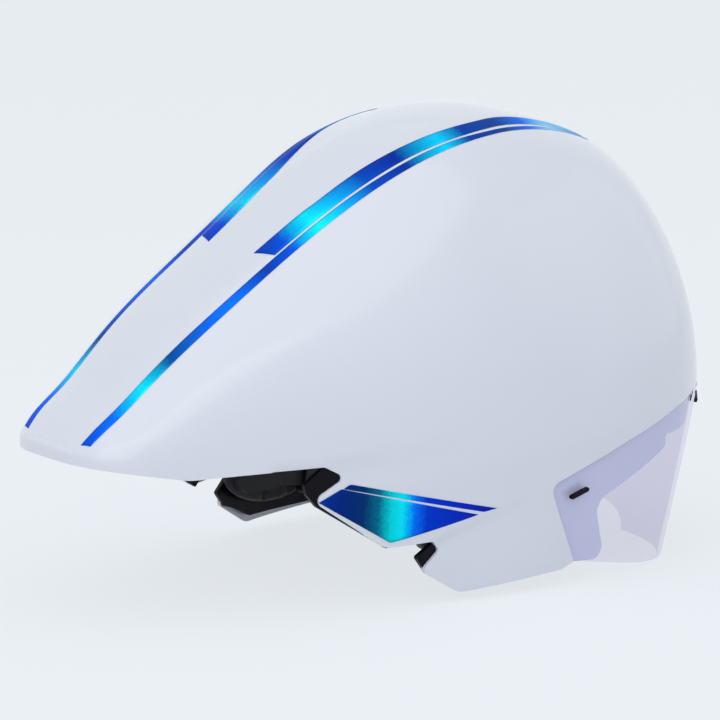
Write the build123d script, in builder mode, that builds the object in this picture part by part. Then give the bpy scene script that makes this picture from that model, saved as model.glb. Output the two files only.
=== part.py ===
# Aero time trial helmet: long-tailed shell, magnetic visor, foam liner and dial-drawn head cradle.
# Frame: +X to the front of the helmet, +Y to the wearer's left, +Z up. The origin is under the
# middle of the helmet, at the level of its lowest edge. All sizes are millimetres.
import os
from math import atan2, cos, degrees, pi, radians, sin

from build123d import *

os.makedirs("parts", exist_ok=True)

sides = ((1, "left"), (-1, "right"))

# Driving dimensions of the body
tail_length = 231.0  # widest place to the tail tip
front_length = 127.0  # widest place to the front of the brow
half_width = 102.0  # at the widest place, above the ears
side_height = 75.0  # lowest edge to the widest line at the sides
crown_rise = 149.0  # widest line to the crown
side_lean = 7.0  # how far the sides draw in from the brow level to the lowest edge
shell_wall = 2.6
seat_gap = 0.3  # between pieces that rest beside each other
overrun = 20.0  # how far a cut runs past what it cuts

length = tail_length + front_length
widest_x = length / 2 - front_length
crown_height = side_height + crown_rise
brow_share = 1.08  # level of the widest line at the front, as a share of the side's
brow_height = brow_share * side_height

# Body slices, tail to front: place along, half width, rise to the crown, widest level, roundness
tail_station_shares = (
    (-0.998, 0.21, 0.022, 1.063, 2.4),
    (-0.983, 0.31, 0.062, 1.036, 2.6),
    (-0.946, 0.40, 0.137, 0.994, 2.8),
    (-0.877, 0.48, 0.242, 0.940, 2.9),
    (-0.753, 0.585, 0.452, 0.875, 2.9),
    (-0.593, 0.728, 0.657, 0.827, 2.8),
    (-0.410, 0.876, 0.833, 0.866, 2.6),
    (-0.216, 0.976, 0.971, 0.946, 2.4),
    (0.0, 1.0, 1.0, 1.0, 2.2),
)
front_station_shares = (
    (0.20, 0.961, 1.027),
    (0.40, 0.904, 1.054),
    (0.58, 0.824, 1.075),
    (0.74, 0.677, brow_share),
    (0.86, 0.502, brow_share),
    (0.94, 0.353, brow_share),
    (0.985, 0.188, brow_share),
    (0.998, 0.072, brow_share),
)
plan_roundness = 2.5
front_roundness = 2.2
slice_angles = (4, 12, 24, 40, 58, 75)


def slice_face(x, width, rise, level, roundness, lean):
    """A closed slice across the body: straight sides below the level, a round crown above it."""
    side = [(width - lean, -overrun), (width - lean / 2, level / 2), (width, level)]
    for angle in slice_angles:
        across = width * cos(radians(angle)) ** (2 / roundness)
        up = level + rise * sin(radians(angle)) ** (2 / roundness)
        side.append((across, up))
    other = [(-across, up) for across, up in reversed(side)]
    with BuildSketch(Plane.YZ.offset(x)) as face:
        with BuildLine():
            Spline(*side, (0, level + rise), *other)
            Line(other[-1], side[0])
        make_face()
    return face.sketch


def body_form(inset):
    """The closed body that all walls follow, drawn in by an inset."""
    stations = list(tail_station_shares)
    for along, rise, level in front_station_shares:
        width = (1 - along**plan_roundness) ** (1 / plan_roundness)
        stations.append((along, width, rise, level, front_roundness))
    slices = []
    for along, width, rise, level, roundness in stations:
        reach = tail_length if along < 0 else front_length
        slices.append(
            slice_face(
                widest_x + along * (reach - inset),
                width * (half_width - inset),
                rise * (crown_rise - inset),
                level * side_height,
                roundness,
                side_lean,
            )
        )
    with BuildPart() as form:
        loft(slices)
    return form.part


def side_face(rows):
    """A face in side view, from rows of place along, height and corner radius, all as shares."""
    places = [(along * length, up * crown_height) for along, up, radius in rows]
    radii = [radius * crown_height for along, up, radius in rows]
    with BuildSketch() as face:
        with BuildLine():
            FilletPolyline(*places, radius=radii, close=True)
        make_face()
    return face.sketch


# Side outlines, as shares of the length and the crown height: place along, height, corner radius
port_line_shares = (
    (0.159, 0.049, 0.0),
    (0.112, 0.226, 0.022),
    (0.246, 0.297, 0.2),
    (0.346, 0.347, 0.15),
    (0.440, 0.355, 0.0),
    (0.560, 0.355, 0.0),
)
lobe_line_shares = (
    (-0.560, 0.350, 0.0),
    (-0.480, 0.333, 0.05),
    (-0.380, 0.305, 0.11),
    (-0.212, 0.317, 0.013),
    (-0.184, 0.292, 0.011),
    (-0.226, 0.245, 0.018),
    (-0.128, 0.131, 0.022),
    (-0.064, 0.138, 0.013),
    (-0.053, 0.116, 0.009),
    (-0.076, 0.073, 0.013),
    (-0.022, 0.018, 0.03),
    (0.137, 0.036, 0.0),
)
lens_foot_shares = (
    (0.560, 0.012, 0.0),
    (0.400, 0.003, 0.0),
    (0.363, 0.000, 0.0),
    (0.290, 0.011, 0.3),
)
port_foot_shares = ((0.560, -0.2, 0.0), (0.170, -0.2, 0.0))
over_crown_shares = ((0.560, 1.12, 0.0), (-0.560, 1.12, 0.0))

shell_face = side_face(lobe_line_shares + port_line_shares + over_crown_shares)
port_face = side_face(port_line_shares + port_foot_shares)
lens_face = side_face(port_line_shares + lens_foot_shares)

# Visor: a single-curved lens that carries on the shell's surface, on a recessed flange
lens_wall = 2.0
lens_gap = 0.4  # round the lens's edge
flange_wall = 2.5
rim_width = 6.0  # stiffening rim along the port, inside the shell
rim_cover = 0.8  # shell left outside the rim
rim_depth = 5.0
nose_lean = 32.0  # how far the lens draws in at the nose
foot_squareness = 0.7  # the lens's foot is squarer in plan than its top
lens_tail = 25.0  # how far the lens's sides run back past the widest place
nose_half_width = 26.0
nose_height = 13.0
lens_angles = (6, 15, 26, 38, 50, 62, 74, 84)


def lens_form(inset):
    """The body behind the lens's surface: straight lines from the brow's plan to the foot's."""
    levels = (-overrun, brow_height + overrun)
    faces = []
    for level in levels:
        drop = 1 - level / brow_height
        reach = front_length - nose_lean * drop - inset
        width = half_width - side_lean * drop - inset
        roundness = plan_roundness + foot_squareness * drop
        side = [(widest_x, width)]
        for angle in reversed(lens_angles):
            along = reach * cos(radians(angle)) ** (2 / roundness)
            across = width * sin(radians(angle)) ** (2 / roundness)
            side.append((widest_x + along, across))
        other = [(along, -across) for along, across in reversed(side)]
        back = widest_x - lens_tail
        with BuildSketch(Plane.XY.offset(level)) as face:
            with BuildLine():
                Spline(
                    *side,
                    (widest_x + reach, 0),
                    *other,
                    tangents=((1, 0), (-1, 0)),
                )
                Polyline((widest_x, -width), (back, -width), (back, width), (widest_x, width))
            make_face()
        faces.append(face.sketch)
    with BuildPart() as form:
        loft(faces, ruled=True)
    return form.part


flange_shares = (
    (0.160, 0.047, 0.0),
    (0.222, 0.036, 0.027),
    (0.201, 0.170, 0.04),
    (0.338, 0.263, 0.013),
    (0.342, 0.290, 0.009),
    (0.383, 0.285, 0.027),
    (0.415, 0.298, 0.03),
    (0.440, 0.338, 0.02),
    (0.560, 0.342, 0.0),
    (0.560, 0.368, 0.0),
    (0.436, 0.368, 0.1),
    (0.346, 0.361, 0.15),
    (0.246, 0.311, 0.2),
    (0.103, 0.234, 0.01),
    (0.150, 0.047, 0.0),
)

body_outside = body_form(0)
body_inside = body_form(shell_wall)
flange_inset = lens_wall + seat_gap
flange_face = side_face(flange_shares)

with BuildSketch() as rim_band:
    add(port_face)
    offset(amount=rim_width)
    add(port_face, mode=Mode.SUBTRACT)

with BuildPart() as brow_rim:
    add(body_form(rim_cover))
    add(body_form(rim_depth), mode=Mode.SUBTRACT)
    with BuildSketch(Plane.XZ):
        add(rim_band.sketch)
    extrude(amount=half_width + overrun, both=True, mode=Mode.INTERSECT)

with BuildPart() as flange:
    add(lens_form(flange_inset))
    add(lens_form(flange_inset + flange_wall), mode=Mode.SUBTRACT)
    with BuildSketch(Plane.XZ):
        add(flange_face)
    extrude(amount=half_width + overrun, both=True, mode=Mode.INTERSECT)

with BuildSketch() as lens_edge:
    add(port_face)
    offset(amount=-lens_gap)
    add(lens_face, mode=Mode.INTERSECT)

with BuildPart() as visor_lens:
    add(lens_form(0))
    add(lens_form(lens_wall), mode=Mode.SUBTRACT)
    with BuildSketch(Plane.XZ):
        add(lens_edge.sketch)
    extrude(amount=half_width + overrun, both=True, mode=Mode.INTERSECT)
    with BuildSketch(Plane.YZ.offset(widest_x)):
        Ellipse(nose_half_width, nose_height)
    extrude(amount=front_length + overrun, mode=Mode.SUBTRACT)
visor_lens.part.label = "visor_lens"
export_step(visor_lens.part, "parts/visor_lens.step")


def lens_ring(inset, wall):
    """A shell of a given wall under the lens's surface."""
    with BuildPart() as ring:
        add(lens_form(inset))
        add(lens_form(inset + wall), mode=Mode.SUBTRACT)
    return ring.part


def port_plane(bearing, height_share):
    """A plane through the helmet's axis that faces out along a bearing."""
    turn = radians(bearing)
    return Plane(
        origin=(widest_x, 0, height_share * brow_height),
        x_dir=(-sin(turn), cos(turn), 0),
        z_dir=(cos(turn), sin(turn), 0),
    )


# Magnet pods on the lens, and the magnets that hold them, in pockets behind the flange
pod_length = 14.0
pod_width = 3.4
pod_rise = 1.7  # out from the lens
glue_gap = 0.1
pod_rear_bearing = 87.0
pod_brow_bearing = 30.5
pod_rear_share = 0.562  # height, as a share of the brow's
pod_brow_share = 0.905
magnet_brow_share = 0.945
pod_rear_tilt = -27.0
pod_brow_tilt = -15.0
magnet_radius = 3.0
magnet_wall = 1.5
magnet_skin = 0.6  # flange left in front of a magnet

with BuildPart() as visor_pods:
    with BuildSketch(port_plane(pod_rear_bearing, pod_rear_share)):
        SlotOverall(pod_length, pod_width, rotation=pod_rear_tilt)
    extrude(amount=front_length + overrun)
    with BuildSketch(port_plane(pod_brow_bearing, pod_brow_share)):
        SlotOverall(pod_length, pod_width, rotation=pod_brow_tilt)
    extrude(amount=front_length + overrun)
    add(lens_ring(-pod_rise, pod_rise - glue_gap), mode=Mode.INTERSECT)
    mirror(about=Plane.XZ)
visor_pods.part.label = "visor_pods"
export_step(visor_pods.part, "parts/visor_pods.step")


def magnet_pair(radius, inset, wall):
    """The left side's two magnets, or their pockets, in a ring under the lens's surface."""
    with BuildPart() as pair:
        for bearing, share in (
            (pod_rear_bearing, pod_rear_share),
            (pod_brow_bearing, magnet_brow_share),
        ):
            with BuildSketch(port_plane(bearing, share)):
                Circle(radius)
            extrude(amount=front_length + overrun)
        add(lens_ring(inset, wall), mode=Mode.INTERSECT)
        mirror(about=Plane.XZ)
    return pair.part


magnet_inset = flange_inset + magnet_skin
magnet_pockets = magnet_pair(magnet_radius + glue_gap, magnet_inset, flange_wall)
visor_magnets = magnet_pair(magnet_radius, magnet_inset + glue_gap, magnet_wall)
visor_magnets.label = "visor_magnets"
export_step(visor_magnets, "parts/visor_magnets.step")

with BuildPart() as outer_shell:
    add(body_outside)
    add(body_inside, mode=Mode.SUBTRACT)
    add(brow_rim.part)
    with BuildSketch(Plane.XZ):
        add(shell_face)
    extrude(amount=half_width + overrun, both=True, mode=Mode.INTERSECT)
    add(flange.part)
    add(magnet_pockets, mode=Mode.SUBTRACT)
outer_shell.part.label = "outer_shell"
export_step(outer_shell.part, "parts/outer_shell.step")


def write_pair(piece, name):
    """Write a left piece and its mirrored right one."""
    with BuildPart() as other:
        mirror(piece, about=Plane.XZ)
    for part, word in ((piece, "left"), (other.part, "right")):
        part.label = f"{name}_{word}"
        export_step(part, f"parts/{name}_{word}.step")


# Side frames: black moulded cheeks behind the lobes, seen in the notches
frame_wall = 2.5
frame_shares = (
    (-0.208, 0.318, 0.0),
    (-0.235, 0.280, 0.012),
    (-0.232, 0.258, 0.008),
    (-0.218, 0.230, 0.010),
    (-0.123, 0.128, 0.004),
    (-0.113, 0.142, 0.004),
    (-0.053, 0.141, 0.006),
    (-0.082, 0.102, 0.006),
    (-0.068, 0.070, 0.006),
    (-0.050, 0.060, 0.010),
    (-0.020, 0.035, 0.02),
    (0.100, 0.043, 0.01),
    (0.125, 0.055, 0.01),
    (0.084, 0.223, 0.02),
    (0.078, 0.279, 0.01),
    (-0.165, 0.283, 0.02),
)
frame_inset = shell_wall + seat_gap
frame_face = side_face(frame_shares)

with BuildPart() as side_frame:
    add(body_form(frame_inset))
    add(body_form(frame_inset + frame_wall), mode=Mode.SUBTRACT)
    with BuildSketch(Plane.XZ):
        add(frame_face)
    extrude(amount=-(half_width + overrun), mode=Mode.INTERSECT)
write_pair(side_frame.part, "side_frame")

# Impact liner: foam that follows the shell outside and the head inside
liner_side = 20.1
liner_crown = 20.1
liner_brow = 23.0
head_half_length = 98.0
head_half_width = half_width - frame_inset - liner_side
head_x = length / 2 - frame_inset - liner_brow - head_half_length
head_lift = 4.0  # widest line of the head above the brow
head_level = brow_height + head_lift
head_rise = crown_height - frame_inset - liner_crown - head_level
head_roundness = 2.3
head_angles = (-80, -64, -47, -30, -12, 8, 28, 46, 63, 80)
channel_depth = 8.0
channel_width = 12.0
channel_spread = 51.0  # outer air channels, from the middle
channel_start_share = 0.47  # of the crown height
trench_width = 24.0
trench_spread = 20.0
liner_shares = (
    (-0.455, 0.355, 0.0),
    (-0.380, 0.328, 0.09),
    (-0.2235, 0.339, 0.02),
    (-0.168, 0.290, 0.02),
    (0.084, 0.288, 0.04),
    (0.246, 0.335, 0.1),
    (0.346, 0.386, 0.1),
    (0.436, 0.393, 0.0),
    (0.560, 0.393, 0.0),
    (0.560, 1.12, 0.0),
    (-0.455, 1.12, 0.0),
)
trench_shares = ((-0.42, 0.2, 0.0), (-0.42, 0.385, 0.04), (-0.17, 0.41, 0.04), (-0.17, 0.2, 0.0))
liner_face = side_face(liner_shares)
trench_face = side_face(trench_shares)


def head_form(inset):
    """The space for the head, open downwards, drawn in by an inset."""
    slices = []
    for angle in head_angles:
        along = sin(radians(angle))
        swell = (1 - abs(along) ** head_roundness) ** (1 / head_roundness)
        slices.append(
            slice_face(
                head_x + along * (head_half_length - inset),
                swell * (head_half_width - inset),
                swell * (head_rise - inset),
                head_level,
                head_roundness,
                0,
            )
        )
    with BuildPart() as form:
        loft(slices)
    return form.part


# Cradle: bands drawn round the back of the head by a dial, on a stem that slides in a rail
band_setback = 25.0  # centre of the bands' arc, behind the middle of the head
band_centre_x = head_x - band_setback
dial_height = 76.0
plate_wall = 2.0
band_wall = 1.4
band_gap = 0.4  # between the bands, the yoke and the housing
yoke_clearance = 9.0  # yoke's inner face, in from the liner's sides
yoke_radius = head_half_width - yoke_clearance
band_right_radius = yoke_radius + plate_wall + band_gap
band_left_radius = band_right_radius + band_wall + band_gap
housing_radius = band_left_radius + band_wall + band_gap
cradle_half_height = 12.0
cradle_corner = 8.0
yoke_half_width = 40.0
housing_half_width = 30.0
band_half_height = 9.0
band_front_half_height = 5.5
band_waist_x = 12.0  # where a band has narrowed to its front height
band_waist_length = 20.0
band_front_reach = 95.0  # degrees from the dial to a band's front end
band_back_reach = 18.0  # degrees that a band runs on past the dial
cradle_travel = 10.0
stem_half_width = 11.0
stem_top = 128.0
stem_back_x = band_centre_x - ((yoke_radius + plate_wall) ** 2 - stem_half_width**2) ** 0.5
rail_wall = 2.0
rail_low = 98.0
rail_high = 132.0
rail_lip = 2.3
rail_lip_wall = 1.5
liner_room = 0.6  # round the moving cradle
knob_radius = 15.0
knob_length = 11.0
knob_room = 7.0  # for fingers, round the knob
knob_front_x = band_centre_x - housing_radius - plate_wall - band_gap
knob_back_x = knob_front_x - knob_length
rail_half_width = stem_half_width + band_gap + rail_wall
rail_back_x = stem_back_x - band_gap - rail_wall
rear_block = (Align.MIN, Align.CENTER)

with BuildPart() as air_channels:
    add(head_form(-channel_depth))
    with BuildSketch(Plane.XY.offset(channel_start_share * crown_height)):
        with Locations((head_x, 0), (head_x, channel_spread), (head_x, -channel_spread)):
            Rectangle(length, channel_width)
    extrude(amount=crown_height, mode=Mode.INTERSECT)

with BuildPart() as exhaust_trenches:
    for side, word in sides:
        with BuildSketch(Plane.XZ.offset(-side * trench_spread)):
            add(trench_face)
        extrude(amount=trench_width / 2, both=True)

with BuildPart() as cradle_room:
    with BuildSketch(Plane.XY.offset(-overrun)):
        with Locations((band_centre_x, 0)):
            Circle(housing_radius + plate_wall + liner_room)
    extrude(amount=overrun + dial_height + cradle_half_height + liner_room)
    with BuildSketch(Plane.XY.offset(-overrun)):
        with Locations((knob_back_x - knob_room, 0)):
            Rectangle(band_centre_x - knob_back_x, 2 * (knob_radius + knob_room), align=rear_block)
    extrude(amount=overrun + dial_height + knob_radius + liner_room)
    with BuildSketch(Plane.XY.offset(dial_height)):
        with Locations((rail_back_x - seat_gap, 0)):
            Rectangle(band_setback, 2 * (rail_half_width + seat_gap), align=rear_block)
    extrude(amount=rail_high + liner_room - dial_height)

with BuildPart() as impact_liner:
    add(body_form(frame_inset))
    add(head_form(0), mode=Mode.SUBTRACT)
    add(air_channels.part, mode=Mode.SUBTRACT)
    add(cradle_room.part, mode=Mode.SUBTRACT)
    add(exhaust_trenches.part, mode=Mode.SUBTRACT)
    with BuildSketch(Plane.XZ):
        add(liner_face)
    extrude(amount=half_width + overrun, both=True, mode=Mode.INTERSECT)
impact_liner.part.label = "impact_liner"
export_step(impact_liner.part, "parts/impact_liner.step")

# Comfort pads: soft strips on the liner's inside, in layers that draw in towards the head
pad_wall = 4.5
pad_layer_shares = ((0.5, 0.0), (0.82, 0.2), (1.0, 0.5))  # depth, and draw-in of the sides
pad_width = 18.0
pad_groove = 3.0
brow_pad_half_width = 58.0
brow_pad_height = 15.0
crown_pad_length = 96.0
crown_pad_spread = 30.0
side_pad_length = 76.0
brow_pad_share = 0.427  # of the crown height, the brow pad's middle
side_pad_share = 0.47
pad_body = head_form(seat_gap)
pad_cores = [head_form(seat_gap + depth * pad_wall) for depth, draw in pad_layer_shares]


def layered_pad(plane, face, grooves, reach):
    """A pad with an outline, cut from the space between the liner and each layer's core."""
    layers = []
    for (depth, draw), core in zip(pad_layer_shares, pad_cores):
        with BuildPart() as layer:
            with BuildSketch(plane):
                add(face)
                if draw > 0:
                    offset(amount=-draw * pad_wall)
                    add(grooves, mode=Mode.SUBTRACT)
            extrude(amount=reach)
            add(pad_body, mode=Mode.INTERSECT)
            add(core, mode=Mode.SUBTRACT)
        layers.append(layer.part)
    with BuildPart() as pad:
        for layer in layers:
            add(layer)
    return pad.part


def pad_faces(middle, run, width, spacing):
    """A strip's outline about a middle, and the grooves that cross it."""
    with BuildSketch() as strip:
        with Locations(middle):
            SlotOverall(run, width)
    with BuildSketch() as grooves:
        with Locations((middle[0] - spacing, middle[1]), (middle[0] + spacing, middle[1])):
            Rectangle(pad_groove, width)
    return strip.sketch, grooves.sketch


strip, grooves = pad_faces(
    (0, brow_pad_share * crown_height), 2 * brow_pad_half_width, brow_pad_height, channel_spread / 2
)
brow_pad = layered_pad(Plane.YZ.offset(head_x), strip, grooves, head_half_length)
brow_pad.label = "brow_pad"
export_step(brow_pad, "parts/brow_pad.step")

strip, grooves = pad_faces(
    (head_x, crown_pad_spread), crown_pad_length, pad_width, crown_pad_length / 5
)
write_pair(layered_pad(Plane.XY.offset(head_level), strip, grooves, head_rise), "crown_pad")

strip, grooves = pad_faces(
    (head_x, side_pad_share * crown_height), side_pad_length, pad_width, side_pad_length / 5
)
write_pair(layered_pad(Plane.XZ, strip, grooves, -half_width), "side_pad")


def arc_face(radius, wall, start, end):
    """A sector of a ring about the bands' centre, between two bearings."""
    centre = (band_centre_x, 0)
    low, high = sorted((start, end))
    with BuildSketch() as face:
        with BuildLine():
            outer = CenterArc(centre, radius + wall, low, high - low)
            inner = CenterArc(centre, radius, low, high - low)
            Line(outer @ 0, inner @ 0)
            Line(outer @ 1, inner @ 1)
        make_face()
    return face.sketch


def arc_plane(bearing, radius):
    """A plane that faces out from the bands' centre at the dial's height."""
    turn = radians(bearing)
    return Plane(
        origin=(band_centre_x + radius * cos(turn), radius * sin(turn), dial_height),
        x_dir=(-sin(turn), cos(turn), 0),
        z_dir=(cos(turn), sin(turn), 0),
    )


# Height rail: a channel on the liner's back wall that the cradle's stem slides in
with BuildPart() as height_rail:
    with BuildSketch(Plane.XY.offset(rail_low)):
        with Locations((rail_back_x, 0)):
            Rectangle(
                rail_wall + 2 * band_gap + plate_wall + rail_lip_wall,
                2 * rail_half_width,
                align=rear_block,
            )
        with Locations((stem_back_x - band_gap, 0)):
            Rectangle(
                plate_wall + 2 * band_gap,
                2 * (stem_half_width + band_gap),
                align=rear_block,
                mode=Mode.SUBTRACT,
            )
            Rectangle(
                plate_wall * 2 + 2 * band_gap,
                2 * (stem_half_width - rail_lip),
                align=rear_block,
                mode=Mode.SUBTRACT,
            )
    extrude(amount=rail_high - rail_low)
height_rail.part.label = "height_rail"
export_step(height_rail.part, "parts/height_rail.step")

# Pinion, shaft and their bores
tooth_module = 1.2
pinion_teeth = 8
pitch_radius = tooth_module * pinion_teeth / 2
tooth_pitch = pi * tooth_module
tooth_reach = 1.1  # tip and root of a tooth, from the pitch line
tooth_clearance = 0.4
tooth_root_half = 0.95
tooth_tip_half = 0.42
shaft_radius = 2.5
shaft_play = 0.05
boss_side = 3.4
screw_radius = 1.2
screw_head_radius = 2.8
screw_head = 2.2
socket_depth = 5.0
knob_web = 1.5
cover_radius = 10.0
cover_wall = 1.7
grip_count = 14
grip_radius = 2.4
grip_depth = 1.2
knob_skirt = 1.6
gear_front_x = band_centre_x - yoke_radius - plate_wall - band_gap
gear_back_x = band_centre_x - housing_radius + band_gap
yoke_inner_x = band_centre_x - yoke_radius
web_x = knob_front_x - socket_depth
head_seat_x = web_x - knob_web
cover_seat_x = head_seat_x - screw_head - seat_gap
dial_place = Location((0, dial_height))

# Yoke: the plate behind the head, with the stem
with BuildPart() as cradle_yoke:
    with BuildSketch(arc_plane(180, 0)):
        RectangleRounded(2 * yoke_half_width, 2 * cradle_half_height, cradle_corner)
    extrude(amount=housing_radius)
    with BuildSketch(Plane.XY):
        add(arc_face(yoke_radius, plate_wall, 90, 270))
    extrude(amount=crown_height, mode=Mode.INTERSECT)
    with BuildSketch(Plane.XY.offset(dial_height + band_half_height + band_gap)):
        with Locations((stem_back_x, 0)):
            Rectangle(plate_wall, 2 * stem_half_width, align=rear_block)
    extrude(amount=stem_top - dial_height - band_half_height - band_gap)
    with BuildSketch(Plane.YZ.offset(gear_front_x)):
        with Locations(dial_place):
            Circle(shaft_radius + shaft_play)
    extrude(amount=housing_radius, mode=Mode.SUBTRACT)
cradle_yoke.part.label = "cradle_yoke"
export_step(cradle_yoke.part, "parts/cradle_yoke.step")

# Cradle pads: soft blocks inside the yoke, drawn in towards the head
cradle_pad_turn = 20.0
cradle_pad_length = 24.0
cradle_pad_height = 19.0
cradle_pad_wall = 4.2
cradle_pad_taper = 22.0
cradle_pad_corner = 5.0

with BuildPart() as cradle_pad:
    with BuildSketch(arc_plane(180 - cradle_pad_turn, yoke_radius)):
        RectangleRounded(cradle_pad_length, cradle_pad_height, cradle_pad_corner)
    extrude(amount=-(cradle_pad_wall + plate_wall), taper=cradle_pad_taper)
    with BuildSketch(Plane.XY):
        add(arc_face(yoke_radius - seat_gap - cradle_pad_wall, cradle_pad_wall, 90, 270))
    extrude(amount=crown_height, mode=Mode.INTERSECT)
write_pair(cradle_pad.part, "cradle_pad")

# Housing: the cover plate that keeps the bands on the yoke
housing_seat = yoke_radius + plate_wall + seat_gap
with BuildPart() as dial_housing:
    with BuildSketch(arc_plane(180, 0)):
        RectangleRounded(2 * housing_half_width, 2 * cradle_half_height, cradle_corner)
    extrude(amount=housing_radius + 2 * plate_wall)
    with BuildSketch(Plane.XY):
        add(arc_face(housing_seat, housing_radius + plate_wall - housing_seat, 90, 270))
    extrude(amount=crown_height, mode=Mode.INTERSECT)
    with BuildSketch(Plane.XY.offset(dial_height - band_half_height - band_gap)):
        add(arc_face(yoke_radius, housing_radius - yoke_radius, 90, 270))
    extrude(amount=2 * (band_half_height + band_gap), mode=Mode.SUBTRACT)
    with BuildSketch(Plane.YZ.offset(knob_front_x)):
        with Locations(dial_place):
            Circle(shaft_radius + shaft_play)
    extrude(amount=housing_radius, mode=Mode.SUBTRACT)
dial_housing.part.label = "dial_housing"
export_step(dial_housing.part, "parts/dial_housing.step")

# Pinion: gear, shaft, and the square boss that the knob turns
with BuildPart() as dial_pinion:
    with BuildSketch(Plane.YZ.offset(gear_back_x)):
        with Locations(dial_place):
            Circle(pitch_radius - tooth_reach - tooth_clearance)
            with PolarLocations(0, pinion_teeth):
                Polygon(
                    (shaft_radius, -tooth_root_half),
                    (pitch_radius + tooth_reach, -tooth_tip_half),
                    (pitch_radius + tooth_reach, tooth_tip_half),
                    (shaft_radius, tooth_root_half),
                    align=None,
                )
    extrude(amount=gear_front_x - gear_back_x)
    with BuildSketch(Plane.YZ.offset(knob_front_x)):
        with Locations(dial_place):
            Circle(shaft_radius)
    extrude(amount=yoke_inner_x - knob_front_x)
    with BuildSketch(Plane.YZ.offset(web_x + seat_gap)):
        with Locations(dial_place):
            Rectangle(boss_side, boss_side)
    extrude(amount=socket_depth)
    with BuildSketch(Plane.YZ.offset(web_x)):
        with Locations(dial_place):
            Circle(screw_radius + shaft_play)
    extrude(amount=knob_front_x - web_x, mode=Mode.SUBTRACT)
dial_pinion.part.label = "dial_pinion"
export_step(dial_pinion.part, "parts/dial_pinion.step")

# Knob, its screw, and the cap over the screw
with BuildPart() as dial_knob:
    with BuildSketch(Plane.YZ.offset(knob_front_x)):
        with Locations(dial_place):
            Circle(knob_radius)
            with PolarLocations(knob_radius + grip_radius - grip_depth, grip_count):
                Circle(grip_radius, mode=Mode.SUBTRACT)
    extrude(amount=-knob_length)
    with BuildSketch(Plane.YZ.offset(knob_front_x)):
        with Locations(dial_place):
            Rectangle(boss_side + 2 * shaft_play, boss_side + 2 * shaft_play)
    extrude(amount=-socket_depth, mode=Mode.SUBTRACT)
    with BuildSketch(Plane.YZ.offset(knob_front_x)):
        with Locations(dial_place):
            Circle(screw_radius + shaft_play)
    extrude(amount=-knob_length, mode=Mode.SUBTRACT)
    with BuildSketch(Plane.YZ.offset(head_seat_x)):
        with Locations(dial_place):
            Circle(screw_head_radius + seat_gap)
    extrude(amount=-knob_length, mode=Mode.SUBTRACT)
    with BuildSketch(Plane.YZ.offset(cover_seat_x)):
        with Locations(dial_place):
            Circle(cover_radius + shaft_play)
    extrude(amount=-knob_length, mode=Mode.SUBTRACT)
dial_knob.part.label = "dial_knob"
export_step(dial_knob.part, "parts/dial_knob.step")

with BuildPart() as dial_screw:
    with BuildSketch(Plane.YZ.offset(head_seat_x)):
        with Locations(dial_place):
            Circle(screw_head_radius)
    extrude(amount=-screw_head)
    with BuildSketch(Plane.YZ.offset(head_seat_x - screw_head)):
        with Locations(dial_place):
            Rectangle(screw_radius, screw_head_radius)
            Rectangle(screw_head_radius, screw_radius)
    extrude(amount=screw_head / 2, mode=Mode.SUBTRACT)
    with BuildSketch(Plane.YZ.offset(head_seat_x)):
        with Locations(dial_place):
            Circle(screw_radius)
    extrude(amount=knob_web + socket_depth - seat_gap)
dial_screw.part.label = "dial_screw"
export_step(dial_screw.part, "parts/dial_screw.step")

with BuildPart() as dial_cover:
    with BuildSketch(Plane.YZ.offset(cover_seat_x)):
        with Locations(dial_place):
            Circle(cover_radius)
    extrude(amount=-cover_wall)
    fillet(dial_cover.faces().sort_by(Axis.X)[0].edges(), radius=cover_wall / 2)
dial_cover.part.label = "dial_cover"
export_step(dial_cover.part, "parts/dial_cover.step")

# Bands: each has a window round the pinion, with a rack on one edge
window_back = 5.0  # degrees past the dial at rest
window_front = 21.0
rack_teeth = 8
window_half_height = pitch_radius + tooth_reach + tooth_clearance


def draw_band(side, radius):
    """A band round one side of the head: the left one's rack is above the pinion."""
    step = degrees(tooth_pitch / (radius + band_wall / 2))
    with BuildPart() as band:
        with BuildSketch(Plane.XZ):
            with BuildLine():
                half_line = (
                    (knob_back_x, band_half_height),
                    (band_waist_x - band_waist_length, band_half_height),
                    (band_waist_x, band_front_half_height),
                    (head_x, band_front_half_height),
                )
                upper = [(x, dial_height + up) for x, up in half_line]
                lower = [(x, dial_height - up) for x, up in reversed(half_line)]
                Polyline(*upper, *lower, close=True)
            make_face()
        extrude(amount=half_width, both=True)
        with BuildSketch(Plane.XY):
            add(
                arc_face(
                    radius,
                    band_wall,
                    180 - side * band_front_reach,
                    180 + side * band_back_reach,
                )
            )
        extrude(amount=crown_height, mode=Mode.INTERSECT)
        with BuildSketch(Plane.XY.offset(dial_height - window_half_height)):
            add(
                arc_face(
                    radius - band_wall,
                    3 * band_wall,
                    180 - side * window_front,
                    180 + side * window_back,
                )
            )
        extrude(amount=2 * window_half_height, mode=Mode.SUBTRACT)
        for tooth in range(rack_teeth):
            with BuildSketch(arc_plane(180 - side * (tooth - 1 / 2) * step, radius)):
                Polygon(
                    (-tooth_root_half, side * (window_half_height + tooth_clearance)),
                    (-tooth_tip_half, side * (pitch_radius - tooth_reach)),
                    (tooth_tip_half, side * (pitch_radius - tooth_reach)),
                    (tooth_root_half, side * (window_half_height + tooth_clearance)),
                    align=None,
                )
            extrude(amount=band_wall)
    return band.part


# Guides: loops on the liner that the bands' front ends slide in
guide_bearing = 96.0
guide_half_reach = 4.0
guide_wall = 1.6
guide_face_radius = housing_radius + plate_wall + liner_room - seat_gap


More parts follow.
